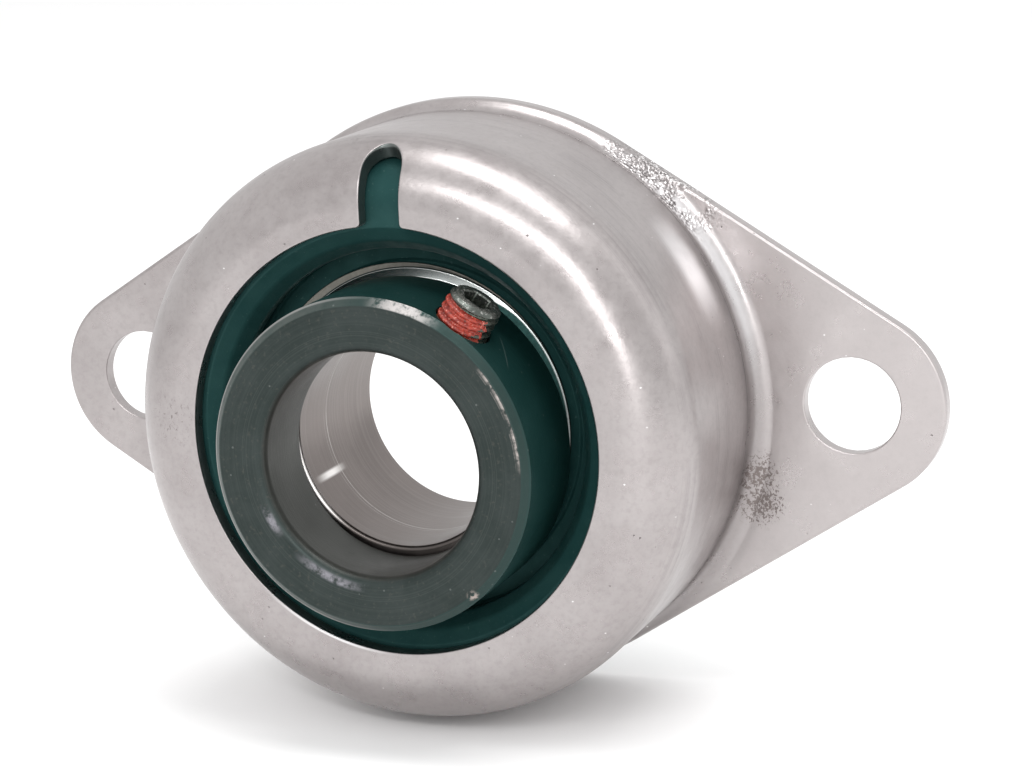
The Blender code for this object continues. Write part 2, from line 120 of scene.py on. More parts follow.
class Look:
    """A node material with short calls for the nodes used here."""

    def __init__(self, name, roughness=0.5, metallic=0.0, colour=(0.5, 0.5, 0.5)):
        self.material = bpy.data.materials.new(name)
        self.material.use_nodes = True
        self.tree = self.material.node_tree
        self.shader = self.tree.nodes["Principled BSDF"]
        self.shader.inputs["Base Color"].default_value = (*colour, 1)
        self.shader.inputs["Roughness"].default_value = roughness
        self.shader.inputs["Metallic"].default_value = metallic
        self.place = self.node("TexCoord").outputs["Object"]
        self.x, self.y, self.z = self.node("SeparateXYZ", self.place).outputs
        self.tone = None

    def node(self, kind, *values):
        """A shader node with its first inputs fed."""
        made = self.tree.nodes.new("ShaderNode" + kind)
        for socket, value in zip(made.inputs, values):
            self.feed(socket, value)
        return made

    def feed(self, socket, value):
        if isinstance(value, bpy.types.NodeSocket):
            self.tree.links.new(value, socket)
        else:
            socket.default_value = value

    def maths(self, operation, a, b=0.0):
        made = self.node("Math", a, b)
        made.operation = operation
        return made.outputs[0]

    def noise(self, scale, detail=4.0, rough=0.55, place=None, distortion=0.0):
        made = self.node("TexNoise", place or self.place)
        made.inputs["Scale"].default_value = scale
        made.inputs["Detail"].default_value = detail
        made.inputs["Roughness"].default_value = rough
        made.inputs["Distortion"].default_value = distortion
        return made.outputs["Fac"]

    def cells(self, scale, place=None):
        """Distance to the nearest of many scattered points."""
        made = self.node("TexVoronoi", place or self.place)
        made.inputs["Scale"].default_value = scale
        return made.outputs["Distance"]

    def stretch(self, scale, offset=(0, 0, 0)):
        """Object coordinates scaled by axis."""
        made = self.node("Mapping", self.place)
        made.inputs["Scale"].default_value = scale
        made.inputs["Location"].default_value = offset
        return made.outputs[0]

    def ramp(self, value, low, high, start=0.0, end=1.0):
        """Value mapped smoothly from low..high to start..end and held outside."""
        made = self.node("MapRange", value, low, high, start, end)
        made.interpolation_type = 'SMOOTHSTEP'
        return made.outputs[0]

    def mix(self, fac, a, b):
        """Colour a where the factor is 0, b where it is 1."""
        made = self.node("Mix", fac)
        made.data_type = 'RGBA'
        for socket, value in ((made.inputs[6], a), (made.inputs[7], b)):
            if isinstance(value, tuple):
                value = (*value, 1)
            self.feed(socket, value)
        return made.outputs[2]

    def length(self, a, b):
        """Length of a vector of two parts."""
        return self.maths('SQRT', self.maths('ADD', self.maths('MULTIPLY', a, a),
                                             self.maths('MULTIPLY', b, b)))

    def radius(self, centre=ON_AXIS):
        """Distance from a line along Y."""
        return self.length(self.maths('SUBTRACT', self.x, centre[0]),
                           self.maths('SUBTRACT', self.z, centre[1]))

    def turned(self, centre=ON_AXIS):
        """Coordinates that vary only with radius and depth, for lathe marks."""
        return self.node("CombineXYZ", self.radius(centre), self.y).outputs[0]

    def forward(self):
        """Distance in front of the flange's back face."""
        return self.maths('MULTIPLY', self.y, -1.0)

    def along_screw(self):
        """Height along the set screw's axis from the collar's centre."""
        dx = self.maths('SUBTRACT', self.x, COLLAR_CENTRE[0])
        dz = self.maths('SUBTRACT', self.z, COLLAR_CENTRE[1])
        return self.maths('ADD', self.maths('MULTIPLY', dx, cos(SCREW_ANGLE)),
                          self.maths('MULTIPLY', dz, sin(SCREW_ANGLE)))

    def near(self, place, reach, core=0.3):
        """1 close to a point, falling to 0 at a distance, both given in millimetres."""
        made = self.node("VectorMath", self.place, tuple(v * MM for v in place))
        made.operation = 'DISTANCE'
        return self.ramp(made.outputs["Value"], reach * MM * core, reach * MM, 1.0, 0.0)

    def both(self, *masks):
        """The product of several masks."""
        result = masks[0]
        for mask in masks[1:]:
            result = self.maths('MULTIPLY', result, mask)
        return result

    def line(self, value, middle, half_width):
        """1 where a value is close to the middle one."""
        away = self.maths('ABSOLUTE', self.maths('SUBTRACT', value, middle))
        return self.ramp(away, half_width * 0.3, half_width, 1.0, 0.0)

    def two_tone(self, dark, light, mask):
        """Start the tone as a mottle of two colours."""
        self.tone = self.mix(mask, dark, light)

    def paint(self, colour, *masks):
        """Lay a colour over the tone so far, as strongly as the product of the masks."""
        self.tone = self.mix(self.both(*masks), self.tone, colour)

    def bump(self, height, distance, strength=1.0):
        """Add a bump on top of any bump already there."""
        made = self.node("Bump")
        made.inputs["Strength"].default_value = strength
        made.inputs["Distance"].default_value = distance
        self.feed(made.inputs["Height"], height)
        normal = self.shader.inputs["Normal"]
        if normal.is_linked:
            self.tree.links.new(normal.links[0].from_socket, made.inputs["Normal"])
        self.tree.links.new(made.outputs[0], normal)

    def finished(self, roughness=None):
        """The material, with its tone and roughness connected."""
        self.feed(self.shader.inputs["Base Color"], self.tone)
        if roughness is not None:
            self.feed(self.shader.inputs["Roughness"], roughness)
        return self.material


def zinc_look():
    """Zinc-plated pressed steel: satin, mottled, with draw marks, nicks, galling and a scuff, and
    painted highlights and painted shade.
    """
    look = Look("zinc_plate", metallic=0.9, roughness=0.36)
    look.shader.inputs["Specular IOR Level"].default_value = 0.5
    cloud = look.noise(75, 5, 0.6)
    grain = look.noise(1300, 4, 0.7)
    mottle = look.noise(330, 5, 0.65)
    look.two_tone((0.345, 0.315, 0.313), (0.415, 0.383, 0.380), look.ramp(cloud, 0.32, 0.70))
    look.paint((0.455, 0.427, 0.424), look.ramp(mottle, 0.30, 0.72, 0.0, 0.42))
    look.paint((0.262, 0.238, 0.236), look.ramp(grain, 0.42, 0.74, 0.0, 0.30))

    # Marks of the drawing die run round the cup's wall
    forward, radius = look.forward(), look.radius()
    wall = look.both(look.ramp(radius, CUP_R - 1.6 * MM, CUP_R - 0.2 * MM),
                     look.ramp(forward, 4.4 * MM, 6 * MM))
    drawn = look.noise(1500, 4, 0.75, look.turned())
    patchy = look.ramp(look.noise(110, 3, 0.5), 0.40, 0.62)
    look.paint((0.24, 0.22, 0.22), wall, patchy, look.ramp(drawn, 0.48, 0.66, 0.0, 0.55))
    # A die crease at the foot of the wall: a real groove in the bump, with painted shade darkening
    # it.
    crease = look.both(look.line(forward, 4.5 * MM, 0.16 * MM),
                       look.ramp(radius, CUP_R - 0.5 * MM, CUP_R - 0.1 * MM))
    look.paint((0.16, 0.145, 0.145), crease, look.ramp(cloud, 0.3, 0.6, 0.4, 0.8))

    # Painted light: the flange is painted brighter towards its right-hand bolt hole, in place of
    # light reflected onto it
    flange_painted_light = look.both(look.ramp(forward, 3.2 * MM, 2.2 * MM),
                          look.ramp(look.x, 14 * MM, 30 * MM),
                          look.ramp(radius, CUP_R + 0.8 * MM, CUP_R + 2.6 * MM))
    look.paint((0.53, 0.494, 0.490), flange_painted_light, 0.5)

    # Painted highlight on the fillet at the foot of the cup at the upper right, and painted shade
    # on it low down
    fillet_highlight = look.both(look.line(forward, 3.0 * MM, 1.1 * MM), look.ramp(radius, 37 * MM, 36 * MM),
                     look.near((29.5, -3.0, 18.5), 21, 0.25))
    look.paint((0.95, 0.94, 0.95), fillet_highlight, 0.6)
    fillet_shade = look.both(look.line(forward, 3.0 * MM, 1.6 * MM),
                         look.ramp(radius, 38 * MM, 37 * MM),
                         look.ramp(look.z, 9 * MM, -2 * MM))
    look.paint((0.27, 0.250, 0.248), fillet_shade, 0.50)

    # Painted highlight: a bright streak low on the wall, at the upper right
    wall_highlight = look.both(look.near((29.6, -9.8, 17.2), 8.5, 0.05),
                       look.line(forward, 9.8 * MM, 4.4 * MM), look.ramp(radius, 33 * MM, 34 * MM))
    look.paint((0.97, 0.96, 0.97), wall_highlight, look.ramp(cloud, 0.25, 0.5, 0.60, 0.90))

    # Galled patch where the metal was dragged over the foot of the cup
    torn = look.ramp(look.noise(300, 3, 0.6), 0.44, 0.58)
    galled = look.both(look.near((25.0, -2.5, 27.0), 11, 0.15),
                       look.ramp(forward, 4.6 * MM, 3.4 * MM),
                       look.ramp(radius, 39.5 * MM, 37 * MM), torn)
    lumps = look.cells(2300)
    flecks = look.noise(3100, 2, 0.5)
    look.paint((0.34, 0.315, 0.313), galled, 0.8)
    look.paint((0.20, 0.185, 0.185), galled, look.ramp(flecks, 0.53, 0.62, 0.0, 0.8))
    look.paint((0.92, 0.90, 0.90), galled, look.ramp(flecks, 0.46, 0.38))

    # Dark scuff on the flange and a fainter one on the face
    streaks = look.noise(1, 3, 0.6, look.stretch((3100, 1500, 2300)), 0.8)
    scuff = look.maths('MAXIMUM', look.near((34.4, -1.9, -8.8), 4.2, 0.0),
                       look.near((34.8, -1.9, -12.0), 4.4, 0.0))
    dirt = look.ramp(look.maths('ADD', streaks, look.both(scuff, 0.20)), 0.615, 0.69)
    look.paint((0.25, 0.222, 0.215), scuff, 0.22)
    look.paint((0.140, 0.115, 0.108), look.ramp(scuff, 0.0, 0.4), dirt, 0.85)
    off_rim = look.ramp(radius, OPENING_R + 0.2 * MM, OPENING_R + 0.6 * MM)
    rubbed = look.both(look.near((-27.5, -28.6, 1.5), 5.0, 0.1), off_rim)
    look.paint((0.17, 0.15, 0.145), rubbed, look.ramp(streaks, 0.58, 0.66, 0.0, 0.7))

    # Small nicks, dark and bright
    ragged = look.both(look.noise(2400, 2, 0.6), 0.07)
    chosen = look.ramp(look.noise(190, 2, 0.5), 0.49, 0.55)
    nicks = look.ramp(look.maths('ADD', look.cells(430), ragged), 0.060, 0.100, 1.0, 0.0)
    look.paint((0.13, 0.115, 0.11), nicks, chosen, off_rim, 0.65)
    other = look.stretch((1.0, 0.8, 1.3), (0.02, 0.01, 0.03))
    pricks = look.ramp(look.cells(430, other), 0.030, 0.065, 1.0, 0.0)
    look.paint((0.90, 0.89, 0.89), pricks, look.ramp(cloud, 0.48, 0.56), 0.8)

    # Painted shade: the sheared walls of the slot and the opening are painted dark teal, as they
    # lie in shade
    beyond = look.maths('MAXIMUM', look.maths('SUBTRACT', look.z, SLOT_TOP_R - SLOT_HALF), 0.0)
    across = look.length(look.x, beyond)
    sheared_shade = look.both(look.ramp(across, SLOT_HALF + 0.10 * MM, SLOT_HALF + 0.02 * MM),
                        look.ramp(look.z, 23 * MM, 24.5 * MM))
    opening = look.both(look.ramp(radius, OPENING_R + 0.10 * MM, OPENING_R + 0.02 * MM),
                        look.ramp(forward, 24 * MM, 25 * MM))
    look.paint((0.075, 0.100, 0.095), look.maths('MAXIMUM', sheared_shade, opening), 0.8)

    # Painted highlight along the low part of the opening's edge
    rim = look.both(look.line(radius, OPENING_R + 0.22 * MM, 0.20 * MM),
                    look.ramp(forward, 27.5 * MM, 28 * MM),
                    look.near((-9.5, -28.6, -22.5), 10, 0.2))
    look.paint((0.97, 0.97, 0.98), rim, 0.6)

    base = look.ramp(mottle, 0.28, 0.74, 0.25, 0.38)
    look.bump(cloud, 0.00030, 0.30)
    look.bump(look.maths('ADD', mottle, look.both(grain, 0.5)), 0.00010, 0.30)
    look.bump(look.both(lumps, galled), 0.00045, 0.8)
    look.bump(look.maths('SUBTRACT', look.both(wall, drawn, 0.15), crease), 0.00010, 0.7)
    look.bump(look.both(nicks, chosen, off_rim, -1.0), 0.00010, 0.8)
    return look.finished(look.maths('ADD', base, look.both(wall, 0.05)))


def rubber_look(name, dark, light):
    """Moulded rubber: nearly black with a green-blue cast, soft sheen and a little dust."""
    look = Look(name, roughness=0.46)
    look.shader.inputs["Specular IOR Level"].default_value = 0.30
    look.shader.inputs["Specular Tint"].default_value = (0.45, 1.0, 0.96, 1)
    cloud = look.noise(150, 4, 0.6)
    look.two_tone(dark, light, look.ramp(cloud, 0.3, 0.7))
    dust = look.ramp(look.noise(2600, 2, 0.6), 0.66, 0.74, 0.0, 0.5)
    look.paint((0.055, 0.100, 0.090), dust)
    look.bump(look.noise(2400, 3, 0.6), 0.00004, 0.4)
    look.bump(cloud, 0.0002, 0.15)
    return look.finished(look.ramp(look.noise(500, 4, 0.6), 0.3, 0.7, 0.40, 0.56))


def ground_look(name, colour, roughness, contrast):
    """Ground or turned bearing steel with fine marks round the axis."""
    look = Look(name, metallic=1.0, roughness=roughness)
    marks = look.noise(5200, 3, 0.7, look.turned())
    cloud = look.noise(180, 4, 0.6)
    light = tuple(min(1.0, c * contrast) for c in colour)
    look.tone = look.mix(look.ramp(marks, 0.3, 0.7), colour, light)
    look.bump(marks, 0.00003, 0.3)
    return look.finished(look.ramp(cloud, 0.3, 0.7, roughness - 0.04, roughness + 0.08))


def inner_ring_look():
    """Ground bore with two faint scored lines and a painted glint, and a front lip painted dark as
    shade with a painted highlight crescent.
    """
    look = Look("inner_ring_steel", metallic=1.0, roughness=0.3)
    forward, radius = look.forward(), look.radius()
    marks = look.noise(4200, 3, 0.7, look.turned())
    cloud = look.noise(130, 4, 0.6)
    look.two_tone((0.165, 0.143, 0.135), (0.215, 0.188, 0.178), look.ramp(cloud, 0.32, 0.68))
    look.paint((0.33, 0.30, 0.285), look.ramp(marks, 0.4, 0.75, 0.0, 0.30))
    score = look.maths('ADD', look.line(forward, 19.3 * MM, 0.10 * MM),
                       look.both(look.line(forward, 19.9 * MM, 0.06 * MM), 0.5))
    score = look.both(score, look.ramp(radius, 13.6 * MM, 13.0 * MM),
                      look.ramp(look.noise(220, 3, 0.5), 0.35, 0.55, 0.25, 1.0))
    look.paint((0.60, 0.57, 0.55), score, 0.8)
    # Painted glint: a highlight laid into the bore's colour
    glint = look.both(look.near((-11.3, -21.8, -5.9), 4.4, 0.1),
                      look.line(look.z, -5.85 * MM, 0.52 * MM))
    look.paint((1.0, 0.97, 0.95), glint)
    # The front lip is painted dark as shade, with a painted highlight crescent at its lower left
    lip = look.ramp(forward, 26.2 * MM, 26.4 * MM)
    look.paint((0.055, 0.050, 0.047), lip, 0.6)
    crescent = look.both(lip, look.near((-11.9, -26.7, -5.0), 8.0, 0.25))
    look.paint((0.85, 0.82, 0.80), crescent, 0.9)
    look.bump(marks, 0.00003, 0.3)
    look.bump(score, 0.00004, 0.5)
    return look.finished(look.ramp(cloud, 0.3, 0.7, 0.28, 0.40))


def flinger_look():
    """Pressed steel disc: dull tan rim, a crease painted dark as shade and a polished cone, its
    inner part painted dark as shade, with more shade and a dimmer polish towards the right.
    """
    look = Look("flinger_steel", metallic=1.0, roughness=0.42)
    outside = look.radius(CONE_OFFSET)
    # Painted shade: the cone is painted dark teal inside a polished band that narrows and dims
    # towards the right
    cone = look.ramp(outside, CONE_R + 0.05 * MM, CONE_R - 0.05 * MM)
    taper = look.ramp(look.x, 5 * MM, 13.5 * MM, CONE_R - 1.1 * MM, CONE_R - 0.15 * MM)
    unshaded_cone = look.ramp(look.maths('SUBTRACT', outside, taper), -0.06 * MM, 0.06 * MM)
    polished = look.both(cone, unshaded_cone, look.ramp(look.x, 8 * MM, 15 * MM, 1.0, 0.5))
    grain = look.noise(2100, 3, 0.65)
    cloud = look.noise(240, 4, 0.6)
    dull = look.mix(look.ramp(grain, 0.3, 0.7), (0.170, 0.165, 0.145), (0.260, 0.250, 0.225))
    dull = look.mix(look.ramp(cloud, 0.35, 0.65, 0.0, 0.4), dull, (0.14, 0.135, 0.12))
    # Painted shade: a dark line in the crease outside the cone
    dull = look.mix(look.line(outside, CONE_R + 0.10 * MM, 0.13 * MM), dull, (0.03, 0.04, 0.038))
    dull = look.mix(cone, dull, (0.020, 0.050, 0.046))
    look.tone = look.mix(polished, dull, (0.80, 0.83, 0.82))
    look.bump(look.both(grain, look.maths('SUBTRACT', 1.0, polished)), 0.00004, 0.4)
    rough = look.ramp(grain, 0.3, 0.7, 0.38, 0.52)
    return look.finished(look.mix(polished, rough, (0.20, 0.20, 0.20)))


def collar_look():
    """Black oxide over turned steel, worn through in a few rubbed places, with painted light and
    shade on its outside, its outer chamfer and its bore's edge.
    """
    look = Look("black_oxide", metallic=0.62, roughness=0.4)
    look.shader.inputs["Specular IOR Level"].default_value = 0.42
    forward, radius = look.forward(), look.radius(COLLAR_CENTRE)
    marks = look.noise(3600, 3, 0.65, look.turned(COLLAR_CENTRE))
    cloud = look.noise(200, 5, 0.65)
    speck = look.noise(1900, 3, 0.6)
    look.two_tone((0.020, 0.029, 0.027), (0.032, 0.042, 0.040), look.ramp(cloud, 0.3, 0.7))
    look.paint((0.085, 0.096, 0.088), look.ramp(marks, 0.48, 0.78, 0.0, 0.35))
    look.paint((0.080, 0.078, 0.068), look.ramp(speck, 0.56, 0.74, 0.0, 0.35))
    # Painted shade: the outside is painted dark teal, as a dark reflection of the rubber round it
    outside = look.ramp(radius, COLLAR_R - 0.25 * MM, COLLAR_R - 0.05 * MM)
    look.paint((0.010, 0.054, 0.050), outside, 0.9)
    bore = look.ramp(radius, COLLAR_BORE_R + 0.5 * MM, COLLAR_BORE_R + 0.1 * MM)
    look.paint((0.088, 0.086, 0.078), bore, 0.55)

    # Painted light and shade on the outer chamfer: dark on the right, lighter on the left with a
    # painted highlight along its outer edge, and a painted highlight on top
    over = look.maths('SUBTRACT', look.maths('ADD', radius, forward),
                      COLLAR_R + COLLAR_FRONT - 0.8 * MM)
    chamfer = look.ramp(over, -0.16 * MM, -0.02 * MM)
    breakup = look.noise(700, 4, 0.7)
    left = look.ramp(look.x, 4 * MM, -8 * MM, 0.0, 0.5)
    look.paint((0.020, 0.045, 0.041), chamfer, 0.8)
    look.paint((0.120, 0.128, 0.120), chamfer, left, look.ramp(breakup, 0.25, 0.6, 0.5, 1.0))
    lip = look.both(chamfer, left, look.ramp(radius, COLLAR_R - 0.30 * MM, COLLAR_R - 0.12 * MM))
    look.paint((0.42, 0.41, 0.40), lip)
    rubbed = look.ramp(breakup, 0.40, 0.60)
    top = look.near((5.6, -36.3, 17.4), 5.0, 0.2)
    look.paint((0.42, 0.40, 0.39), chamfer, top, look.ramp(breakup, 0.34, 0.56))

    # Streaks rubbed through just inside the outer chamfer on the right
    right = look.maths('ADD', look.near((15.9, -36.5, 8.2), 4.2, 0.2),
                       look.near((17.7, -36.5, 2.6), 3.8, 0.2))
    fine = look.noise(2600, 3, 0.7, look.turned(COLLAR_CENTRE))
    band = look.line(radius, 17.95 * MM, 0.42 * MM)
    front = look.ramp(forward, 36.3 * MM, 36.5 * MM)
    look.paint((0.50, 0.45, 0.425), band, right, rubbed, look.ramp(fine, 0.40, 0.56), front)

    # Painted highlight on the bore's edge at the lower left, and a small knock at the lower right
    low = look.maths('ADD', look.near((-5.2, -36.6, -13.9), 5.2, 0.2),
                     look.near((-11.6, -36.6, -7.4), 2.4, 0.2))
    edge = look.line(radius, COLLAR_BORE_R + 1.25 * MM, 0.62 * MM)
    look.paint((0.24, 0.235, 0.26), low, edge, front, look.ramp(breakup, 0.36, 0.60))
    knock = look.both(look.near((12.2, -36.4, -14.8), 0.9, 0.2),
                      look.ramp(speck, 0.44, 0.56))
    look.paint((0.40, 0.34, 0.31), knock)

    # A hair scratch across the outside near the screw, and a few worn specks
    hair = look.both(look.near((15.0, -30.5, 11.2), 3.0, 0.5),
                     look.line(look.maths('ADD', look.maths('MULTIPLY', forward, 0.757),
                                          look.z), 34.75 * MM, 0.09 * MM))
    look.paint((0.20, 0.26, 0.25), hair, outside, 0.6)
    worn = look.both(look.ramp(look.cells(520), 0.05, 0.08, 1.0, 0.0), 0.22)
    look.paint((0.30, 0.32, 0.31), worn)
    look.bump(marks, 0.00004, 0.35)
    look.bump(speck, 0.00003, 0.3)
    return look.finished(look.ramp(cloud, 0.25, 0.75, 0.34, 0.46))


def screw_look():
    """Dark oiled thread, with bright flecks on its worn top rim."""
    look = Look("screw_steel", metallic=0.85, roughness=0.3)
    along = look.along_screw()
    grain = look.noise(2500, 3, 0.6)
    look.two_tone((0.055, 0.070, 0.060), (0.115, 0.125, 0.105), look.ramp(grain, 0.3, 0.7))
    rim = look.ramp(along, SCREW_TOP_R - 0.75 * MM, SCREW_TOP_R - 0.55 * MM)
    look.paint((0.095, 0.105, 0.095), rim)
    look.paint((0.36, 0.36, 0.34), rim, look.ramp(grain, 0.56, 0.66))
    look.bump(grain, 0.00003, 0.4)
    return look.finished(look.ramp(grain, 0.3, 0.7, 0.24, 0.38))


def patch_look():
    """Red thread-locking patch, thin and orange towards its lower edge."""
    look = Look("thread_patch", roughness=0.42)
    grain = look.noise(1500, 4, 0.65)
    speck = look.noise(3800, 2, 0.6)
    look.two_tone((0.190, 0.016, 0.010), (0.39, 0.044, 0.025), look.ramp(grain, 0.32, 0.68))
    height = look.along_screw()
    look.paint((0.26, 0.085, 0.022),
               look.ramp(height, SCREW_TOP_R - 3.3 * MM, SCREW_TOP_R - 4.4 * MM, 0.0, 0.7))
    # Painted glints: light pink specks over the red
    look.paint((0.64, 0.26, 0.21), look.ramp(speck, 0.58, 0.70))
    look.paint((0.12, 0.020, 0.012), look.ramp(speck, 0.42, 0.32))
    look.bump(grain, 0.00008, 0.6)
    return look.finished()


def cage_look():
    """Plain pressed strip steel, oiled."""
    look = Look("cage_strip", metallic=1.0, roughness=0.34)
    cloud = look.noise(420, 4, 0.6)
    look.tone = look.mix(look.ramp(cloud, 0.3, 0.7), (0.33, 0.30, 0.26), (0.46, 0.43, 0.38))
    look.bump(cloud, 0.00005, 0.3)
    return look.finished(look.ramp(look.noise(1600, 3, 0.6), 0.3, 0.7, 0.26, 0.42))


# ---------------------------------------------------------------- shapes

def add_piece(name, mesh, body, look, slot, *nodes):
    """A finished mesh as a piece of the object that stands for some CAD nodes."""
    made = bpy.data.objects.new(name, mesh)
    bpy.context.scene.collection.objects.link(made)
    mesh.materials.append(look)
    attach(made, body)
    if nodes:
        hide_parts(*nodes)
    return made


def add_turned(name, outline, body, look, slot, node):
    """A lathed piece, from an outline whose corners are still sharp."""
    return add_piece(name, lathe(name, rounded(outline)), body, look, slot, node)


def rounded(corners):
    """Round the corners of a closed (radius, forward, rounding[, centre]) outline.

    Gives (radius, forward, normal_r, normal_f, centre) for each point, and passes points on
    that already have their normals. The outline runs so that the solid is on its left.
    """
    points = []
    for k, corner in enumerate(corners):
        if len(corner) == 5:
            points.append(corner)
            continue
        here = Vector(corner[:2])
        back = (Vector(corners[k - 1][:2]) - here).normalized()
        ahead = (Vector(corners[(k + 1) % len(corners)][:2]) - here).normalized()
        centre = corner[3] if len(corner) > 3 else ON_AXIS
        turn = pi - back.angle(ahead)
        reach = corner[2] * tan(turn / 2)
        middle = here + (back + ahead).normalized() * hypot(reach, corner[2])
        sign = 1 if (-back).cross(ahead) > 0 else -1
        steps = max(2, ceil(turn / ROUNDING_STEP))
        start = here + back * reach - middle
        for step in range(steps + 1):
            angle = turn * step / steps * sign
            offset = Vector((start.x * cos(angle) - start.y * sin(angle),
                             start.x * sin(angle) + start.y * cos(angle)))
            normal = offset.normalized() * sign
            spot = middle + offset
            points.append((spot.x, spot.y, normal.x, normal.y, centre))
    return points


def arc_points(centre_r, centre_f, radius, start, end, steps, sign=1):
    """Points with normals along an arc in the (radius, forward) plane, angles in degrees.

    The sign is -1 where the solid is outside the arc.
    """
    points = []
    for k in range(steps + 1):
        angle = radians(start + (end - start) * k / steps)
        points.append((centre_r + radius * cos(angle), centre_f + radius * sin(angle),
                       sign * cos(angle), sign * sin(angle), ON_AXIS))
    return points


def lathe(name, points):
    """Turn points with normals about Y into a closed ring with exact shading."""
    verts, normals, faces = [], [], []
    count = len(points)
    for step in range(LATHE_SIDES):
        c = cos(2 * pi * step / LATHE_SIDES)
        s = sin(2 * pi * step / LATHE_SIDES)
        for r, f, nr, nf, centre in points:
            verts.append((centre[0] + r * c, -f, centre[1] + r * s))
            normals.append((nr * c, -nf, nr * s))
    for step in range(LATHE_SIDES):
        near = step * count
        far = (step + 1) % LATHE_SIDES * count
        for k in range(count):
            following = (k + 1) % count
            faces.append((near + k, far + k, far + following, near + following))
    return shaded_mesh(name, verts, faces, normals)


def outward(face, verts, normals):
    """The face, wound so that it looks the way its vertex normals do."""
    a, b, c = (Vector(verts[face[k]]) for k in (0, 1, 2))
    facing = (b - a).cross(c - a)
    if len(face) == 4:
        d = Vector(verts[face[3]])
        facing = (c - a).cross(d - b)
    meant = Vector((0, 0, 0))
    for v in face:
        meant += Vector(normals[v])
    return tuple(face if facing.dot(meant) > 0 else reversed(face))


def shaded_mesh(name, verts, faces, normals):
    """A smooth mesh of the vertices that are used, with the given vertex normals."""
    used = sorted({v for face in faces for v in face})
    place = {old: new for new, old in enumerate(used)}
    verts = [verts[v] for v in used]
    normals = [normals[v] for v in used]
    faces = [outward([place[v] for v in face], verts, normals) for face in faces]
    mesh = bpy.data.meshes.new(name)
    mesh.from_pydata(verts, [], faces)
    mesh.shade_smooth()
    mesh.normals_split_custom_set_from_vertices(normals)
    return mesh


def row_faces(rows, sides, closed=True):
    """Quads between successive rows of vertices, going once round if closed."""
    faces = []
    for row in range(rows - 1):
        for k in range(sides if closed else sides - 1):
            here, following = row * sides + k, row * sides + (k + 1) % sides
            faces.append((here, following, following + sides, here + sides))
    return faces


def solid_mesh(name, verts, faces):
    """A closed mesh, welded where vertices meet and with its faces wound outwards."""
    mesh = bpy.data.meshes.new(name)
    mesh.from_pydata(verts, [], faces)
    shell = bmesh.new()
    shell.from_mesh(mesh)
    bmesh.ops.remove_doubles(shell, verts=shell.verts, dist=0.002 * MM)
    bmesh.ops.recalc_face_normals(shell, faces=shell.faces)
    shell.to_mesh(mesh)
    shell.free()
    return mesh


def cut(piece, cutter_mesh):
    """Cut a closed mesh out of a piece and weight its normals by face area."""
    cutter = bpy.data.objects.new("cutter", cutter_mesh)
    bpy.context.scene.collection.objects.link(cutter)
    boolean = piece.modifiers.new("cut", 'BOOLEAN')
    boolean.operation = 'DIFFERENCE'
    boolean.solver = 'EXACT'
    boolean.object = cutter
    piece.modifiers.new("normals", 'WEIGHTED_NORMAL').keep_sharp = True
    bpy.context.view_layer.update()
    graph = bpy.context.evaluated_depsgraph_get()
    result = bpy.data.meshes.new_from_object(piece.evaluated_get(graph))
    piece.modifiers.clear()
    piece.data = result
    bpy.data.objects.remove(cutter)


def profile_spot(s):
    """Front surface of the cup at developed distance s from the opening.

    Gives (radius, forward, normal_r, normal_f).
    """
    if s <= FLAT:
        return OPENING_R + s, CUP_FRONT, 0.0, 1.0
    if s >= FLAT + BEND:
        return CUP_R, CUP_FRONT - SHOULDER_R - (s - FLAT - BEND), 1.0, 0.0
    angle = (s - FLAT) / SHOULDER_R
    return (CUP_R - SHOULDER_R + SHOULDER_R * sin(angle),
            CUP_FRONT - SHOULDER_R + SHOULDER_R * cos(angle), sin(angle), cos(angle))


def developed(r):
    """Developed distance from the opening of the front surface's point at radius r."""
    if r - OPENING_R <= FLAT:
        return r - OPENING_R
    return FLAT + SHOULDER_R * asin(min(1.0, (r - OPENING_R - FLAT) / SHOULDER_R))


def swung(spot, angle):
    """Place and normal of a (radius, forward, normal_r, normal_f) spot, turned about Y."""
    r, f, nr, nf = spot
    c, s = cos(angle), sin(angle)
    return Vector((r * c, -f, r * s)), Vector((nr * c, -nf, nr * s))


def bent(start, corner, end, t):
    """A point of the curve that leaves start towards the corner and turns to the end."""
    return start * (1 - t) ** 2 + corner * 2 * t * (1 - t) + end * t ** 2


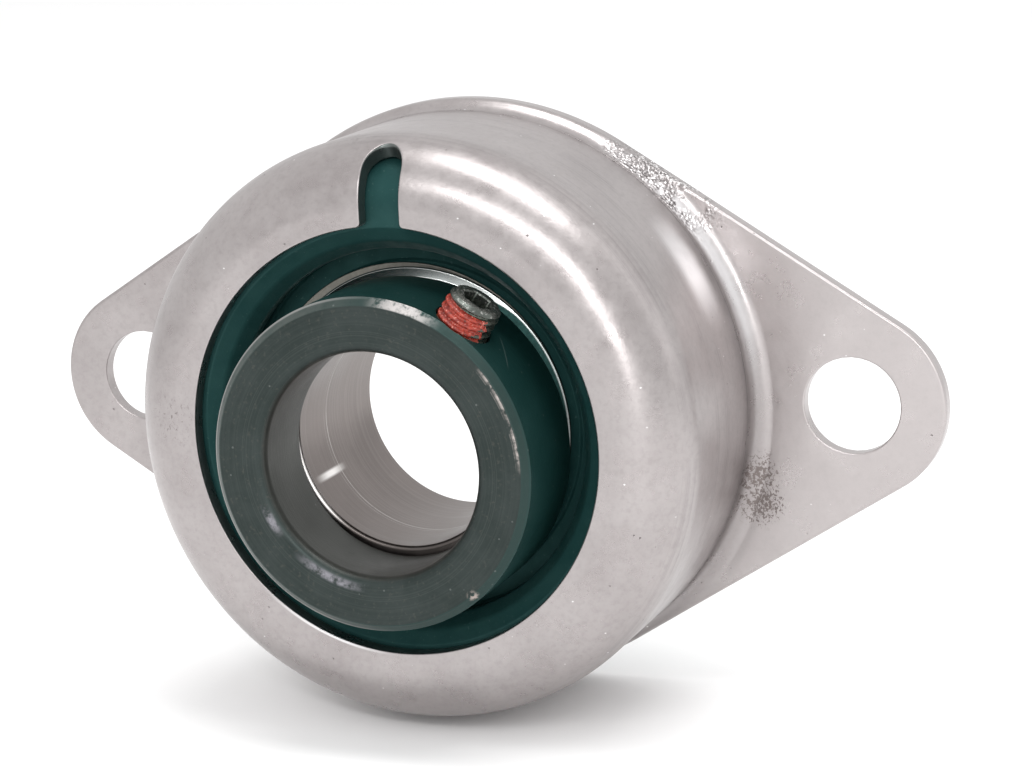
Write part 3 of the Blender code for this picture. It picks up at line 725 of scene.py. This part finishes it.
class Sheet:
    """The pressed sheet: a front and a back surface with one topology, joined by rims."""

    EDGE = 0.22 * MM
    ROLL = 0.45 * MM
    LUG_STEPS, SIDE_STEPS, RUN_STEPS = 36, 44, 36
    BEND_STEPS = 18
    WALL_PARTS = (0.12, 0.28, 0.45, 0.62, 0.8, 0.93)
    FILLET_STEPS = 9
    FLANGE_STEPS = 12
    RIM_ROWS = 3
    RIM_STEPS = 4
    SLOT_REACH = radians(12)
    HOLE_REACH = radians(9.3)
    SLOT_RINGS = 6
    SLOT_CORNER_R = 0.6 * MM
    SLOT_CORNER_STEPS = 4
    HOLE_RINGS = 5

    def __init__(self):
        self.front, self.back = [], []
        self.faces = []
        self.columns = []
        self.holes = []
        self.skip = set()
        self.outline()
        self.grid_rows()
        self.slot_patch()
        self.hole_patch(BOLT_X)
        self.hole_patch(-BOLT_X)
        self.grid_faces()

    def outline(self):
        """True outline points of the flange with their normals, anticlockwise."""
        tangent = acos((FLANGE_R - LUG_R) / BOLT_X)
        run = sqrt(BOLT_X ** 2 - (FLANGE_R - LUG_R) ** 2)
        # Centre, radius, start, end and steps of each arc; a straight run follows each
        arcs = ((BOLT_X, LUG_R, -tangent, tangent, self.LUG_STEPS),
                (0, FLANGE_R, tangent, pi - tangent, self.SIDE_STEPS),
                (-BOLT_X, LUG_R, pi - tangent, pi + tangent, self.LUG_STEPS),
                (0, FLANGE_R, pi + tangent, 2 * pi - tangent, self.SIDE_STEPS))
        for centre_x, radius, start, end, steps in arcs:
            for k in range(steps):
                a = start + (end - start) * k / steps
                self.columns.append((Vector((centre_x + radius * cos(a), radius * sin(a))),
                                     Vector((cos(a), sin(a)))))
            normal = Vector((cos(end), sin(end)))
            corner = Vector((centre_x, 0)) + normal * radius
            way = Vector((-normal.y, normal.x))
            for k in range(self.RUN_STEPS):
                self.columns.append((corner + way * run * k / self.RUN_STEPS, normal))

    def grid_rows(self):
        """Vertices of the regular grid, column by column."""
        self.rows = [self.EDGE, FLAT * 0.6, FLAT]
        self.rows += [FLAT + BEND * (k + 1) / self.BEND_STEPS for k in range(self.BEND_STEPS)]
        wall = CUP_FRONT - SHOULDER_R - SHEET - FOOT_R
        self.rows += [FLAT + BEND + wall * part for part in self.WALL_PARTS]
        # The slot's patch reaches down to the second row of the straight wall
        self.slot_row = len(self.rows) - len(self.WALL_PARTS) + 1
        self.row_count = len(self.rows) + self.FILLET_STEPS + self.FLANGE_STEPS + 1
        for point, normal in self.columns:
            angle = atan2(point.y, point.x)
            for s in self.rows:
                self.add_cup(angle, s)
            rim = point - normal * self.ROLL
            self.add_foot(self.front, rim, angle, FOOT_R, SHEET, 1)
            self.add_foot(self.back, rim, angle, FOOT_R + SHEET, 0.0, -1)

    def add_pair(self, front, back, normal):
        """A vertex on each side of the sheet; gives their index."""
        self.front.append((front, normal))
        self.back.append((back, -normal))
        return len(self.front) - 1

    def add_cup(self, angle, s):
        place, normal = swung(profile_spot(s), angle)
        return self.add_pair(place, place - normal * SHEET, normal)

    def add_at(self, x, s):
        """A cup vertex at plan offset x, near the top of the cup."""
        return self.add_cup(acos(x / profile_spot(s)[0]), s)

    def add_foot(self, verts, rim, angle, radius, level, side):
        """Fillet and flange vertices of one column on one side of the sheet."""
        middle = CUP_R + FOOT_R
        end_r = min(middle, rim.length - 0.3 * MM)
        end = acos(max(-1.0, min(0.0, (end_r - middle) / radius)))
        for k in range(self.FILLET_STEPS + 1):
            a = pi - (pi - end) * k / self.FILLET_STEPS
            place, normal = swung((middle + radius * cos(a), level + radius - radius * sin(a),
                                   -cos(a), sin(a)), angle)
            verts.append((place, normal * side))
        start = Vector((cos(angle), sin(angle))) * (middle + radius * cos(end))
        for k in range(1, self.FLANGE_STEPS + 1):
            spot = start.lerp(rim, k / self.FLANGE_STEPS)
            verts.append(self.flange_vertex(spot, radius, level, side))

    def flange_vertex(self, spot, radius, level, side):
        """A point of the flange, or of its fillet where it is close to the cup."""
        short = CUP_R + FOOT_R - spot.length
        if short <= 0:
            return Vector((spot.x, -level, spot.y)), Vector((0, -side, 0))
        rise = sqrt(radius ** 2 - short ** 2)
        way = spot.normalized()
        normal = Vector((short * way.x, -rise, short * way.y)) / radius * side
        return Vector((spot.x, -(level + radius - rise), spot.y)), normal

    def at(self, column, row):
        return column % len(self.columns) * self.row_count + row

    def grid_faces(self):
        for j in range(len(self.columns)):
            for k in range(self.row_count - 1):
                if (j, k) not in self.skip:
                    self.faces.append((self.at(j, k), self.at(j + 1, k),
                                       self.at(j + 1, k + 1), self.at(j, k + 1)))

    def strips(self, rings, closed):
        """Faces between successive rings of vertices."""
        for near, far in zip(rings, rings[1:]):
            count = len(near)
            for k in range(count if closed else count - 1):
                following = (k + 1) % count
                self.faces.append((near[k], near[following], far[following], far[k]))

    def slot_edge(self, side_steps, over_steps):
        """Points round the slot, up its right side, over and down its left.

        Gives the vertex on the sheet's flat face, an edge's width outside, and the wall's own.
        """
        corner = Vector((SLOT_HALF + self.SLOT_CORNER_R, 0))
        corner.y = sqrt((OPENING_R + self.SLOT_CORNER_R) ** 2 - corner.x ** 2)
        corner_start = atan2(-corner.y, -corner.x)
        centre = Vector((0, SLOT_TOP_R - SLOT_HALF))
        right, over = [], []
        for k in range(self.SLOT_CORNER_STEPS + 1):
            a = corner_start + (-pi - corner_start) * k / self.SLOT_CORNER_STEPS
            way = Vector((cos(a), sin(a)))
            right.append((corner + way * (self.SLOT_CORNER_R - self.EDGE),
                          corner + way * self.SLOT_CORNER_R))
        for k in range(1, side_steps):
            wall = Vector((SLOT_HALF, corner.y + (centre.y - corner.y) * k / side_steps))
            right.append((wall + Vector((self.EDGE, 0)), wall))
        for k in range(over_steps + 1):
            way = Vector((cos(pi * k / over_steps), sin(pi * k / over_steps)))
            over.append((centre + way * (SLOT_HALF + self.EDGE), centre + way * SLOT_HALF))
        left = [(Vector((-face.x, face.y)), Vector((-wall.x, wall.y)))
                for face, wall in reversed(right)]
        return right + over + left

    def slot_patch(self):
        """The region round the slot, on rings from the grid in to the slot's edge."""
        top = self.slot_row
        inside = [j for j, (p, _) in enumerate(self.columns)
                  if abs(atan2(p.y, p.x) - pi / 2) < self.SLOT_REACH]
        first, last = inside[0], inside[-1]
        self.skip.update((j, k) for j in range(first, last) for k in range(top))
        # From the right-hand side up, over and down the left: anticlockwise seen from the front
        outer = [self.at(first, k) for k in range(top)]
        outer += [self.at(j, top) for j in range(first, last)]
        outer += [self.at(last, k) for k in range(top, -1, -1)]
        edge = self.slot_edge(top - self.SLOT_CORNER_STEPS, last - first)
        rings = [outer]
        for level in range(1, self.SLOT_RINGS + 1):
            t = level / self.SLOT_RINGS
            ring = []
            for index, (face, _) in zip(outer, edge):
                x = self.front[index][0].x
                s = self.rows[index % self.row_count]
                ring.append(self.add_at(x + (face.x - x) * t, s + (developed(face.length) - s) * t))
            rings.append(ring)
        self.strips(rings, False)
        # Boundary loop of the opening with the slot in it
        whole = [self.at(j, 0) for j in range(last, first + len(self.columns) + 1)]
        whole += [ring[0] for ring in rings[1:-1]]
        self.opening = [self.opening_point(index) for index in whole]
        for index, (_, wall) in zip(rings[-1], edge):
            spot = profile_spot(developed(wall.length))
            self.opening.append(self.edge_point(index, spot, acos(wall.x / spot[0])))
        self.opening += [self.opening_point(ring[-1]) for ring in reversed(rings[1:-1])]

    def opening_point(self, index):
        place = self.front[index][0]
        return self.edge_point(index, profile_spot(0.0), atan2(place.z, place.x))

    def edge_point(self, index, spot, angle):
        """A vertex index with the true edge's points on the sheet's front and back."""
        place, normal = swung(spot, angle)
        return index, place, place - normal * SHEET

    def hole_patch(self, bolt_x):
        """Rings from the grid in to a bolt hole's edge."""
        side = 1 if bolt_x > 0 else -1
        count = len(self.columns)
        near = [j for j, (p, _) in enumerate(self.columns)
                if abs(atan2(p.y * side, p.x * side)) < self.HOLE_REACH]
        if side > 0:
            near.sort(key=lambda j: (j + count // 2) % count)
        first = near[0]
        steps = (near[-1] - first) % count
        low, high = self.row_count - self.FLANGE_STEPS, self.row_count - self.RIM_ROWS
        self.skip.update(((first + j) % count, k) for j in range(steps) for k in range(low, high))
        outer = [self.at(first, k) for k in range(low, high)]
        outer += [self.at(first + j, high) for j in range(steps)]
        outer += [self.at(first + steps, k) for k in range(high, low, -1)]
        outer += [self.at(first + j, low) for j in range(steps, 0, -1)]
        middle = Vector((bolt_x, 0, 0))
        front = Vector((0, -SHEET, 0))
        level_only = Vector((1, 0, 1))
        ways = [(self.front[index][0] - middle) * level_only for index in outer]
        rings = [outer]
        for level in range(1, self.HOLE_RINGS + 1):
            ring = []
            for way in ways:
                stretch = (BOLT_HOLE_R + self.EDGE - way.length) * level / self.HOLE_RINGS
                spot = middle + way.normalized() * (way.length + stretch)
                ring.append(self.add_pair(spot + front, spot, Vector((0, -1, 0))))
            rings.append(ring)
        self.strips(rings, True)
        edge = []
        for index, way in zip(rings[-1], ways):
            place = middle + way.normalized() * BOLT_HOLE_R
            edge.append((index, place + front, place))
        self.holes.append(edge)

    def rim_curve(self, index, front_edge, back_edge, ahead):
        """Places and normals across the sheet's edge, from its front surface to its back."""
        start, start_normal = self.front[index]
        stop, stop_normal = self.back[index]
        depth = (back_edge - front_edge).normalized()
        wall_normal = depth.cross(ahead).normalized()
        if wall_normal.dot(front_edge - start) < 0:
            wall_normal = -wall_normal
        front_size = (front_edge - start).length
        back_size = min((back_edge - stop).length, self.EDGE)
        stop_in = stop.lerp(back_edge, max(0.0, 1 - back_size / (back_edge - stop).length))
        curve = []
        for k in range(1, self.RIM_STEPS + 1):
            t = k / self.RIM_STEPS
            curve.append((bent(start, front_edge, front_edge + depth * front_size, t),
                          start_normal.lerp(wall_normal, t)))
        for k in range(self.RIM_STEPS + 1):
            t = k / self.RIM_STEPS
            curve.append((bent(back_edge - depth * back_size, back_edge, stop_in, t),
                          wall_normal.lerp(stop_normal, t)))
        if (stop_in - stop).length < 0.02 * MM:
            curve.pop()
        return curve

    def rim(self, verts, normals, faces, loop):
        """Round the sheet's edge along a loop of (index, front edge point, back edge point)."""
        rings = []
        for n, (index, front_edge, back_edge) in enumerate(loop):
            ahead = loop[(n + 1) % len(loop)][1] - loop[n - 1][1]
            ring = [index]
            for place, normal in self.rim_curve(index, front_edge, back_edge, ahead):
                ring.append(len(verts))
                verts.append(place)
                normals.append(normal.normalized())
            ring.append(len(self.front) + index)
            rings.append(ring)
        longest = max(len(ring) for ring in rings)
        for ring in rings:
            while len(ring) < longest:
                ring.insert(-1, ring[-2])
        for ring, following in zip(rings, rings[1:] + rings[:1]):
            for k in range(longest - 1):
                quad = [ring[k], following[k], following[k + 1], ring[k + 1]]
                quad = [v for m, v in enumerate(quad) if v not in quad[:m]]
                if len(quad) > 2:
                    faces.append(tuple(quad))

    def mesh(self, name):
        offset = len(self.front)
        verts = [v for v, _ in self.front + self.back]
        normals = [n for _, n in self.front + self.back]
        faces = self.faces + [tuple(offset + v for v in reversed(face)) for face in self.faces]
        outside = []
        for j, (point, _) in enumerate(self.columns):
            front = self.flange_vertex(point, FOOT_R, SHEET, 1)[0]
            back = self.flange_vertex(point, FOOT_R + SHEET, 0.0, -1)[0]
            outside.append((self.at(j, self.row_count - 1), front, back))
        for loop in (outside, self.opening, *self.holes):
            self.rim(verts, normals, faces, loop)
        return shaded_mesh(name, verts, faces, normals)


# ---------------------------------------------------------------- pieces

zinc = zinc_look()
rubber = rubber_look("cushion_rubber", (0.008, 0.034, 0.033), (0.015, 0.047, 0.045))
seal_rubber = rubber_look("seal_rubber", (0.006, 0.028, 0.027), (0.010, 0.037, 0.035))
ground = ground_look("ground_steel", (0.46, 0.435, 0.42), 0.26, 1.15)
polished = ground_look("ball_steel", (0.70, 0.70, 0.70), 0.08, 1.03)


def make_cushion():
    """Rubber ring with a rounded lip, moulded to the cup outside and to the insert inside."""
    outside = CUP_R - SHEET - SLIP
    back, front = 3.2 * MM, CUP_FRONT - SHEET - 0.2 * MM
    bend = SHOULDER_R - SHEET - 0.2 * MM
    seat = OUTER_R + SLIP
    seat_back, seat_front = 4.6 * MM, 22.5 * MM
    mouth = 21.5 * MM
    outline = [(24.6 * MM, back, 0.4 * MM), (outside, back, 1.2 * MM)]
    outline += arc_points(outside - bend, front - bend, bend, 0, 90, 10)
    outline += [(OPENING_R - 0.4 * MM, front, 0.5 * MM), (22.7 * MM, 26.1 * MM, 1.6 * MM),
                (mouth, 24.3 * MM, 1.0 * MM), (mouth, seat_front, 0.6 * MM)]
    from_angle = degrees(asin((seat_front - INSERT_CENTRE) / seat))
    to_angle = degrees(asin((seat_back - INSERT_CENTRE) / seat))
    outline += arc_points(0, INSERT_CENTRE, seat, from_angle, to_angle, 14, -1)
    add_turned("cushion_moulded", outline, "housing", rubber, "rubber", "rubber_cushion")


def make_outer_ring():
    low, high = INSERT_CENTRE - OUTER_HALF, INSERT_CENTRE + OUTER_HALF
    seat_low, seat_high = INSERT_CENTRE - SEAL_SEAT_HALF, INSERT_CENTRE + SEAL_SEAT_HALF
    reach = degrees(asin(OUTER_HALF / OUTER_R))
    side = degrees(acos((OUTER_LAND_R - PITCH_R) / GROOVE_R))
    outline = [(SEAL_SEAT_R, low, 0.25 * MM)]
    outline += arc_points(0, INSERT_CENTRE, OUTER_R, -reach, reach, 14)
    outline += [(SEAL_SEAT_R, high, 0.25 * MM), (SEAL_SEAT_R, seat_high, 0.1 * MM),
                (OUTER_LAND_R, seat_high, 0.1 * MM)]
    outline += arc_points(PITCH_R, INSERT_CENTRE, GROOVE_R, side, -side, 16, -1)
    outline += [(OUTER_LAND_R, seat_low, 0.1 * MM), (SEAL_SEAT_R, seat_low, 0.1 * MM)]
    add_turned("outer_ring_ground", outline, "outer_race", ground, "race_steel", "outer_ring")


def make_inner_ring():
    side = degrees(acos((INNER_LAND_R - PITCH_R) / GROOVE_R))
    outline = [(BORE_R, INNER_BACK, 0.5 * MM), (INNER_LAND_R, INNER_BACK, 0.3 * MM)]
    outline += arc_points(PITCH_R, INSERT_CENTRE, GROOVE_R, 360 - side, side, 16, -1)
    outline += [(INNER_LAND_R, INNER_SHOULDER, 0.3 * MM),
                (CAM_R, INNER_SHOULDER, 0.2 * MM, CAM_CENTRE),
                (CAM_R, INNER_FRONT, 0.5 * MM, CAM_CENTRE), (BORE_R, INNER_FRONT, 0.5 * MM)]
    add_turned("inner_ring_ground", outline, "inner_race", inner_ring_look(), "race_steel",
               "inner_ring")


def from_middle(corners, side):
    """Corners in millimetres from the insert's middle as an outline on its front or rear side."""
    outline = [(r * MM, INSERT_CENTRE + side * f * MM, rounding * MM, *centre)
               for r, f, rounding, *centre in corners]
    return outline[::side]


def make_flingers():
    """Coned discs with a thin flat rim; the front one sits a little off centre."""
    look = flinger_look()
    for name, side, offset in (("front", 1, FLINGER_OFFSET), ("rear", -1, ON_AXIS)):
        corners = [(17.2, 6.5, 0.1, ON_AXIS), (19.1, 6.5, 0.1, offset), (19.1, 6.82, 0.1, offset),
                   (CONE_R / MM, 6.82, 0.1, CONE_OFFSET), (17.65, 7.3, 0.2, ON_AXIS),
                   (17.2, 7.3, 0.1, ON_AXIS)]
        add_turned(name + "_flinger_pressed", from_middle(corners, side), "inner_race", look,
                   "flinger_steel", name + "_flinger")


def make_seals():
    """Rubber-faced discs with a shallow ring moulded into the outer face."""
    corners = [(17.2, 5.4, 0.1), (22.7, 5.4, 0.15), (22.7, 6.2, 0.3), (21.9, 6.2, 0.2),
               (21.6, 5.95, 0.2), (19.6, 5.95, 0.2), (19.3, 6.2, 0.2), (18.0, 6.2, 0.3)]
    for name, side in (("front_seal", 1), ("rear_seal", -1)):
        add_turned(name + "_moulded", from_middle(corners, side), "outer_race", seal_rubber,
                   "seal_rubber", name)


def make_balls():
    """Polished balls, evenly spaced on the pitch circle."""
    for index in range(BALL_COUNT):
        angle = 2 * pi * index / BALL_COUNT
        place = Vector((PITCH_R * cos(angle), -INSERT_CENTRE, PITCH_R * sin(angle)))
        shell = bmesh.new()
        bmesh.ops.create_icosphere(shell, subdivisions=4, radius=BALL_R,
                                   matrix=Matrix.Translation(place))
        node = f"ball_{index + 1}"
        mesh = bpy.data.meshes.new(node + "_polished")
        shell.to_mesh(mesh)
        shell.free()
        mesh.shade_smooth()
        add_piece(node + "_polished", mesh, node, polished, "ball_steel", node)


def finish_cage():
    """The cage's CAD solids keep their shape and take a strip-steel finish."""
    strip = cage_look()
    rivets = [f"cage_rivet_{index + 1}" for index in range(BALL_COUNT)]
    for name in ("cage_front", "cage_rear", *rivets):
        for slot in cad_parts[name].material_slots:
            slot.material = strip


def screw_point(radius, angle, height):
    """A point about the set screw's axis, at a height along it from the collar's centre."""
    way = Vector((cos(SCREW_ANGLE), 0, sin(SCREW_ANGLE)))
    front = Vector((0, -1, 0))
    middle = Vector((COLLAR_CENTRE[0], -SCREW_FORWARD, COLLAR_CENTRE[1]))
    return middle + way * height + (front * cos(angle) + way.cross(front) * sin(angle)) * radius


def screw_hole():
    """Cutter for the set screw's hole, with a small countersink at the collar's outside."""
    surface = sqrt(COLLAR_R ** 2 - SCREW_HOLE_R ** 2)
    wide = SCREW_HOLE_R + 0.9 * MM
    rings = ((SCREW_HOLE_R, COLLAR_BORE_R - 3 * MM), (SCREW_HOLE_R, surface - 0.1 * MM),
             (wide, surface + 0.8 * MM), (wide, COLLAR_R + 3 * MM))
    sides = 72
    verts = [screw_point(radius, 2 * pi * k / sides, height)
             for radius, height in rings for k in range(sides)]
    faces = row_faces(len(rings), sides)
    faces += [tuple(reversed(range(sides))), tuple(range(len(verts) - sides, len(verts)))]
    return solid_mesh("screw_hole", verts, faces)


def make_collar():
    """Locking collar with a rounded bore, an eccentric recess behind and its screw hole."""
    edge = 0.12 * MM
    back_chamfer, chamfer = 0.5 * MM, 0.8 * MM
    recess = 27.2 * MM
    corners = [(COLLAR_BORE_R, COLLAR_FRONT, 1.4 * MM, COLLAR_CENTRE),
               (COLLAR_BORE_R, recess, edge, COLLAR_CENTRE),
               (RECESS_R, recess, edge, CAM_CENTRE),
               (RECESS_R, COLLAR_BACK, edge, CAM_CENTRE),
               (COLLAR_R - back_chamfer, COLLAR_BACK, edge, COLLAR_CENTRE),
               (COLLAR_R, COLLAR_BACK + back_chamfer, edge, COLLAR_CENTRE),
               (COLLAR_R, COLLAR_FRONT - chamfer, edge, COLLAR_CENTRE),
               (COLLAR_R - chamfer, COLLAR_FRONT, edge, COLLAR_CENTRE)]
    collar = add_turned("collar_turned", corners, "collar", collar_look(), "black_steel",
                        "locking_collar")
    cut(collar, screw_hole())


def screw_side(angle, height):
    """Outside radius of the screw: a thread with flat roots, its top chamfer and tapered end.

    The roots and the flanks take up the given parts of the pitch.
    """
    phase = (height / SCREW_PITCH - angle / (2 * pi)) % 1.0
    root, flank = 0.18, 0.62
    rise = min(1.0, max(0.0, (abs(2 * phase - 1) - root) / flank))
    thread = SCREW_MINOR_R + (SCREW_MAJOR_R - SCREW_MINOR_R) * rise
    chamfer = 2.62 * MM + (SCREW_TOP_R - height) * 1.1
    taper = 2.2 * MM + (height - SCREW_BOTTOM_R)
    return min(thread, chamfer, taper)


def make_screw():
    """Headless screw: cup point, rolled thread, chamfered top and hexagon socket."""
    angles = [2 * pi * k / SCREW_SIDES for k in range(SCREW_SIDES)]
    verts = []

    def ring(height, *radii):
        """Vertices once round, at one radius or at a radius for each angle."""
        for k, angle in enumerate(angles):
            verts.append(screw_point(radii[k % len(radii)], angle, height))

    ring(SCREW_BOTTOM_R + 0.55 * MM, 0)
    ring(SCREW_BOTTOM_R + 0.45 * MM, 1.35 * MM)
    ring(SCREW_BOTTOM_R, 2.05 * MM)
    steps = 150
    for k in range(steps + 1):
        height = SCREW_BOTTOM_R + 0.02 * MM + (SCREW_LENGTH - 0.06 * MM) * k / steps
        ring(height, *[screw_side(angle, height) for angle in angles])
    ring(SCREW_TOP_R, 2.5 * MM)
    half = SOCKET_FLATS / 2
    hexagon = [half / cos((angle + pi / 6) % (pi / 3) - pi / 6) for angle in angles]
    floor = SCREW_TOP_R - SOCKET_DEPTH
    ring(SCREW_TOP_R, *[radius + 0.14 * MM for radius in hexagon])
    ring(SCREW_TOP_R - 0.16 * MM, *hexagon)
    ring(floor, *hexagon)
    ring(floor - 0.1 * MM, half * 0.9)
    ring(floor - 0.6 * MM, 0)
    mesh = solid_mesh("screw_threaded", verts, row_faces(len(verts) // SCREW_SIDES, SCREW_SIDES))
    mesh.shade_smooth()
    mesh.set_sharp_from_angle(angle=radians(38))
    add_piece("screw_threaded", mesh, "screw", screw_look(), "black_steel", "set_screw")


def make_patch():
    """Thread-locking patch: a coat that partly fills the thread and thins out at its edges."""
    middle, spread = radians(-24), radians(92)
    low, high = SCREW_TOP_R - 4.6 * MM, SCREW_TOP_R - 0.95 * MM
    across, up, fade = 72, 90, 6
    sunk, thickness, fill = 0.04 * MM, 0.11 * MM, 0.22
    verts = []
    for k in range(up + 1):
        height = low + (high - low) * k / up
        rise = min(1.0, min(k, up - k) / fade)
        for j in range(across + 1):
            t = 2 * j / across - 1
            angle = middle + spread * t
            spot = Vector((angle * SCREW_MAJOR_R / MM, height / MM, 0.0))
            ragged = noise.fractal(spot * 1.6, 0.8, 2.0, 4)
            cover = min(1.0, max(0.0, (1 - abs(t) + ragged * 0.45 - 0.12) * 7))
            coat = thickness * min(cover, rise) - sunk
            thread = screw_side(angle, height)
            filled = thread + (SCREW_MAJOR_R - 0.05 * MM - thread) * fill
            verts.append(screw_point(filled + coat, angle, height))
    mesh = bpy.data.meshes.new("thread_patch")
    mesh.from_pydata(verts, [], row_faces(up + 1, across + 1, closed=False))
    mesh.shade_smooth()
    add_piece("thread_patch", mesh, "screw", patch_look(), "black_steel")


add_piece("housing_sheet", Sheet().mesh("housing_sheet"), "housing", zinc, "zinc_steel", "housing")
make_cushion()
make_outer_ring()
make_inner_ring()
make_flingers()
make_seals()
make_balls()
finish_cage()
make_collar()
make_screw()
make_patch()


# ---------------------------------------------------------------- stage

def add_floor():
    """A large pale floor just under the flange."""
    bpy.ops.mesh.primitive_plane_add(size=6, location=(0, 0, -FLANGE_R - 0.02 * MM))
    floor = bpy.context.object
    floor.name = "floor"
    floor.data.materials.append(Look("pale_floor", 0.9, colour=(0.96, 0.96, 0.96)).material)


def add_world():
    """An even white studio."""
    bpy.context.scene.view_settings.view_transform = 'Standard'
    world = bpy.data.worlds.new("studio")
    bpy.context.scene.world = world
    world.use_nodes = True
    background = world.node_tree.nodes["Background"]
    background.inputs["Color"].default_value = (1.0, 1.0, 1.0, 1)
    background.inputs["Strength"].default_value = 1.0


def add_lamp(name, way, along, distance, length, width, power):
    """An area lamp that faces the origin and isn't seen by the camera.

    Way is its direction from the object and along is the direction of its length.
    """
    data = bpy.data.lights.new(name, 'AREA')
    data.shape = 'RECTANGLE'
    data.size, data.size_y = length, width
    data.energy = power
    lamp = bpy.data.objects.new(name, data)
    facing = Vector(way).normalized()
    across = facing.cross(Vector(along)).normalized()
    turn = Matrix((across.cross(facing), across, facing)).transposed().to_4x4()
    lamp.matrix_world = Matrix.Translation(facing * distance) @ turn
    lamp.visible_camera = False
    bpy.context.scene.collection.objects.link(lamp)


def add_camera():
    """The camera, placed by the angles it looks from and the point it looks at."""
    azimuth, elevation, roll = radians(21.971), radians(12.794), radians(-2.640)
    target = Vector((4.428, -1.9, 0.356)) * MM
    distance = 346.47 * MM
    back = Vector((sin(azimuth) * cos(elevation), -cos(azimuth) * cos(elevation), sin(elevation)))
    right = Vector((cos(azimuth), sin(azimuth), 0))
    up = back.cross(right)
    camera_x = cos(roll) * right + sin(roll) * up
    camera_y = -sin(roll) * right + cos(roll) * up
    data = bpy.data.cameras.new("camera")
    data.sensor_width = 36
    data.lens = 100.3
    data.clip_start = 0.01
    camera = bpy.data.objects.new("camera", data)
    turn = Matrix((camera_x, camera_y, back)).transposed().to_4x4()
    camera.matrix_world = Matrix.Translation(target + back * distance) @ turn
    bpy.context.scene.collection.objects.link(camera)
    bpy.context.scene.camera = camera


add_floor()
add_world()
add_lamp("front strip", (0.05, -0.83, 0.55), (0.56, -0.04, -0.10), 0.55, 0.33, 0.05, 0.60)
add_lamp("side strip", (0.39, -0.87, 0.29), (0.17, -0.06, -0.41), 0.55, 0.26, 0.05, 0.48)
add_lamp("overhead", (0.17, -0.12, 0.95), (0.62, -0.15, -0.13), 0.60, 0.46, 0.20, 1.60)
add_lamp("right", (0.85, 0.25, 0.45), (0.3, 0.1, -0.6), 0.60, 0.50, 0.20, 0.20)
add_camera()
